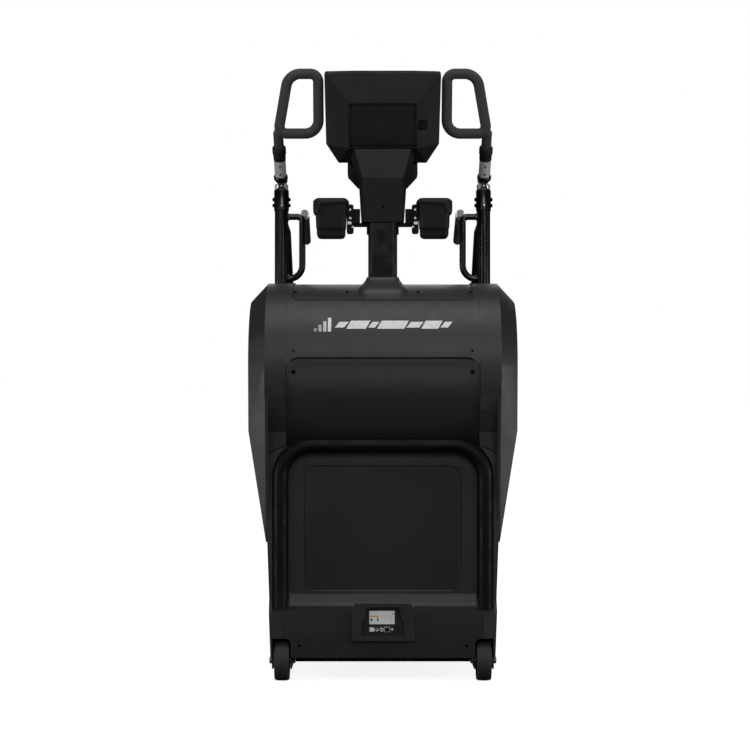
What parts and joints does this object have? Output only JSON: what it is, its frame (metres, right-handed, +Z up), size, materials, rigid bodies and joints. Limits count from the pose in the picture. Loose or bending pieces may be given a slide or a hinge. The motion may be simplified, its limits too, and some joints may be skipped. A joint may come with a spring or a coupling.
{
  "type": "stair climber",
  "caption": "Gym stair climber with a revolving stair that a brake governs, side rails, push handles and a console on a mast.",
  "frame": {"origin": "on the floor under the middle of the overall bounding box", "axes": "+X to the viewer's right when facing the console end's covers, +Y towards the end a user steps on from, +Z up"},
  "size_m": [0.862, 1.47, 1.9859],
  "materials": {
    "shell_plastic": "satin, fine grain",
    "black_steel": "gloss",
    "frame_steel": "semi-matt",
    "bare_steel": "brushed",
    "bright_metal": "polished",
    "cast_alloy": "as cast",
    "step_alloy": "black, ribbed top",
    "hard_rubber": "matt",
    "foam_grip": "matt, pebbled",
    "grey_plastic": "satin",
    "red_plastic": "gloss",
    "screen_glass": "gloss, dark"
  },
  "bodies": {
    "machine": {"base_frame": "frame_steel", "left_side_plate": "frame_steel", "right_side_plate": "frame_steel", "top_beam": "frame_steel", "front_hoop": "black_steel", "levelling_feet": "hard_rubber", "wheel_axle_bolts": "bare_steel", "front_upper_cover": "shell_plastic", "front_middle_cover": "shell_plastic", "front_lower_panel": "shell_plastic", "front_bumper": "shell_plastic", "left_side_shroud": "shell_plastic", "right_side_shroud": "shell_plastic", "dash_panel": "shell_plastic", "entry_platform": "shell_plastic", "mast_boot": "shell_plastic", "inlet_panel": "shell_plastic", "cover_screws": "black_steel", "mast": "black_steel", "neck_cover": "shell_plastic", "console_back_cover": "shell_plastic", "console_bezel": "shell_plastic", "display_glass": "screen_glass", "keypad_pod": "shell_plastic", "left_cup_holder": "shell_plastic", "right_cup_holder": "shell_plastic", "cup_holder_brackets": "frame_steel", "left_handrail": "black_steel", "right_handrail": "black_steel", "pulse_grips": "grey_plastic", "left_push_handle": "foam_grip", "right_push_handle": "foam_grip", "handle_couplers": "bright_metal", "handle_clamps": "black_steel", "shaft_bearings": "bare_steel", "step_chains": "bare_steel", "guide_tracks": "frame_steel", "alternator": "cast_alloy", "drive_chain": "bare_steel", "drive_belt": "hard_rubber", "controller_box": "bright_metal"},
    "left_wheel": {"left_wheel": "hard_rubber"},
    "right_wheel": {"right_wheel": "hard_rubber"},
    "upper_drive": {"upper_shaft": "bare_steel"},
    "lower_drive": {"lower_shaft": "bare_steel"},
    "intermediate_shaft": {"intermediate_shaft": "bare_steel"},
    "alternator_rotor": {"alternator_rotor": "bare_steel"},
    "power_switch": {"power_switch": "grey_plastic"},
    "stop_button": {"stop_button": "red_plastic"},
    "start_key": {"start_key": "grey_plastic"},
    "level_up_key": {"level_up_key": "grey_plastic"},
    "level_down_key": {"level_down_key": "grey_plastic"},
    "step_1": {"step_1": "step_alloy"},
    "step_2": {"step_2": "step_alloy"},
    "step_3": {"step_3": "step_alloy"},
    "step_4": {"step_4": "step_alloy"},
    "step_5": {"step_5": "step_alloy"},
    "step_6": {"step_6": "step_alloy"},
    "step_7": {"step_7": "step_alloy"},
    "step_8": {"step_8": "step_alloy"}
  },
  "joints": [
    {"name": "left_wheel_spin", "type": "hinge", "parent": "machine", "child": "left_wheel", "pos_m": [-0.3225, -0.655, 0.065], "axis": [1, 0, 0], "continuous": true},
    {"name": "right_wheel_spin", "type": "hinge", "parent": "machine", "child": "right_wheel", "pos_m": [0.3225, -0.655, 0.065], "axis": [1, 0, 0], "continuous": true},
    {"name": "upper_shaft_turn", "type": "hinge", "parent": "machine", "child": "upper_drive", "pos_m": [0, -0.47, 0.95], "axis": [-1, 0, 0], "range_deg": [0, 180]},
    {"name": "lower_shaft_turn", "type": "hinge", "parent": "machine", "child": "lower_drive", "pos_m": [0, 0.292, 0.3404], "axis": [-1, 0, 0], "range_deg": [0, 180]},
    {"name": "step_1_travel", "type": "hinge", "parent": "machine", "child": "step_1", "pos_m": [0, 0.292, 0.3404], "axis": [-1, 0, 0], "range_deg": [0, 180]},
    {"name": "step_2_travel", "type": "slide", "parent": "machine", "child": "step_2", "axis": [0, 0.7809, -0.6247], "range_m": [0, 0.3253]},
    {"name": "step_3_travel", "type": "slide", "parent": "machine", "child": "step_3", "axis": [0, 0.7809, -0.6247], "range_m": [0, 0.3253]},
    {"name": "step_4_travel", "type": "slide", "parent": "machine", "child": "step_4", "axis": [0, 0.7809, -0.6247], "range_m": [0, 0.3253]},
    {"name": "step_5_travel", "type": "slide", "parent": "machine", "child": "step_5", "axis": [0, -0.7809, 0.6247], "range_m": [0, 0.3253]},
    {"name": "step_6_travel", "type": "slide", "parent": "machine", "child": "step_6", "axis": [0, -0.7809, 0.6247], "range_m": [0, 0.3253]},
    {"name": "step_7_travel", "type": "slide", "parent": "machine", "child": "step_7", "axis": [0, -0.7809, 0.6247], "range_m": [0, 0.3253]},
    {"name": "step_8_travel", "type": "hinge", "parent": "machine", "child": "step_8", "pos_m": [0, -0.47, 0.95], "axis": [-1, 0, 0], "range_deg": [0, 180]},
    {"name": "intermediate_shaft_turn", "type": "hinge", "parent": "machine", "child": "intermediate_shaft", "pos_m": [0, -0.4, 0.45], "axis": [-1, 0, 0], "range_deg": [0, 450]},
    {"name": "alternator_turn", "type": "hinge", "parent": "machine", "child": "alternator_rotor", "pos_m": [0, -0.33, 0.25], "axis": [-1, 0, 0], "range_deg": [0, 1800]},
    {"name": "power_switch_press", "type": "slide", "parent": "machine", "child": "power_switch", "axis": [0, 1, 0], "range_m": [0, 0.002], "stiffness_N_per_m": 600},
    {"name": "stop_button_press", "type": "slide", "parent": "machine", "child": "stop_button", "axis": [0, -0.9272, -0.3746], "range_m": [0, 0.004], "stiffness_N_per_m": 800},
    {"name": "start_key_press", "type": "slide", "parent": "machine", "child": "start_key", "axis": [0, -0.5812, -0.8137], "range_m": [0, 0.002], "stiffness_N_per_m": 500},
    {"name": "level_up_key_press", "type": "slide", "parent": "machine", "child": "level_up_key", "axis": [0, -0.5812, -0.8137], "range_m": [0, 0.002], "stiffness_N_per_m": 500},
    {"name": "level_down_key_press", "type": "slide", "parent": "machine", "child": "level_down_key", "axis": [0, -0.5812, -0.8137], "range_m": [0, 0.002], "stiffness_N_per_m": 500}
  ],
  "couplings": [
    {"joint": "lower_shaft_turn", "follows": "upper_shaft_turn", "ratio": 1},
    {"joint": "step_1_travel", "follows": "upper_shaft_turn", "ratio": 1},
    {"joint": "step_2_travel", "follows": "upper_shaft_turn", "m_per_rad": 0.10354},
    {"joint": "step_3_travel", "follows": "upper_shaft_turn", "m_per_rad": 0.10354},
    {"joint": "step_4_travel", "follows": "upper_shaft_turn", "m_per_rad": 0.10354},
    {"joint": "step_5_travel", "follows": "upper_shaft_turn", "m_per_rad": 0.10354},
    {"joint": "step_6_travel", "follows": "upper_shaft_turn", "m_per_rad": 0.10354},
    {"joint": "step_7_travel", "follows": "upper_shaft_turn", "m_per_rad": 0.10354},
    {"joint": "step_8_travel", "follows": "upper_shaft_turn", "ratio": 1},
    {"joint": "intermediate_shaft_turn", "follows": "upper_shaft_turn", "ratio": 2.5},
    {"joint": "alternator_turn", "follows": "upper_shaft_turn", "ratio": 10}
  ]
}
